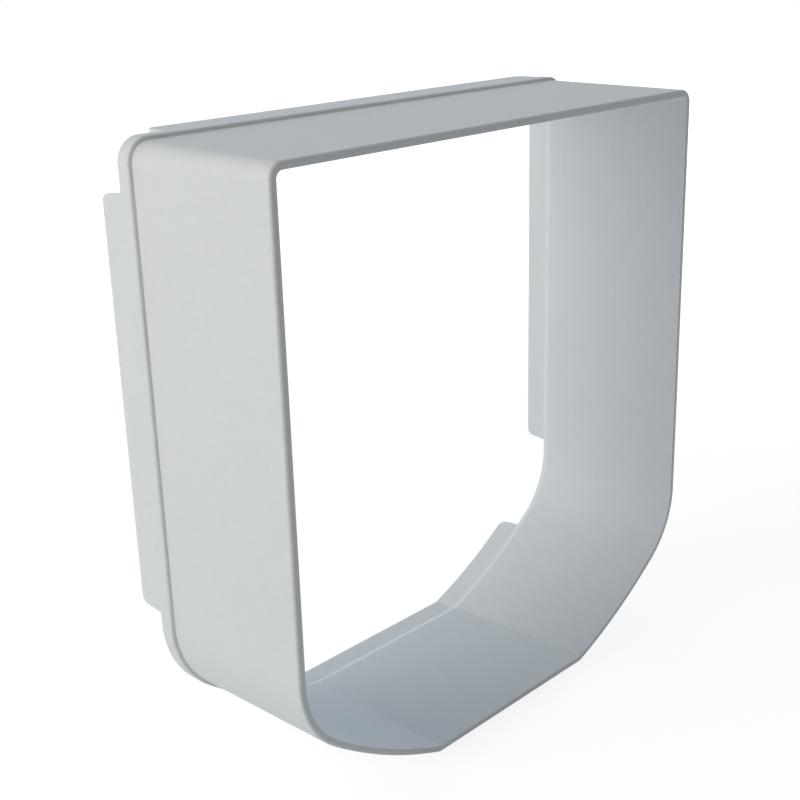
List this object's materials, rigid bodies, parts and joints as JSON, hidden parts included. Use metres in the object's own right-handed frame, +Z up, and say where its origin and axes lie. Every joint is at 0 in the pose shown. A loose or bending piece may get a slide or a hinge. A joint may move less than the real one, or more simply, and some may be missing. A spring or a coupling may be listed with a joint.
{
  "type": "cat flap tunnel section",
  "caption": "Moulded tunnel section that lines the wall opening behind a cat flap: an open ring with flat top and tapered bottom, a stepped rear collar and nesting tongues.",
  "frame": {"origin": "middle of the depth and width, at the level of the lowest face", "axes": "+Z up; +Y along the tunnel from the plain front rim to the collar and tongues; +X across the tunnel, to the right seen from the front rim"},
  "size_m": [0.1732, 0.0624, 0.1783],
  "materials": {
    "white_plastic": "satin, with a very fine moulded grain"
  },
  "bodies": {
    "root": {"tunnel_section": "white_plastic"}
  },
  "joints": []
}
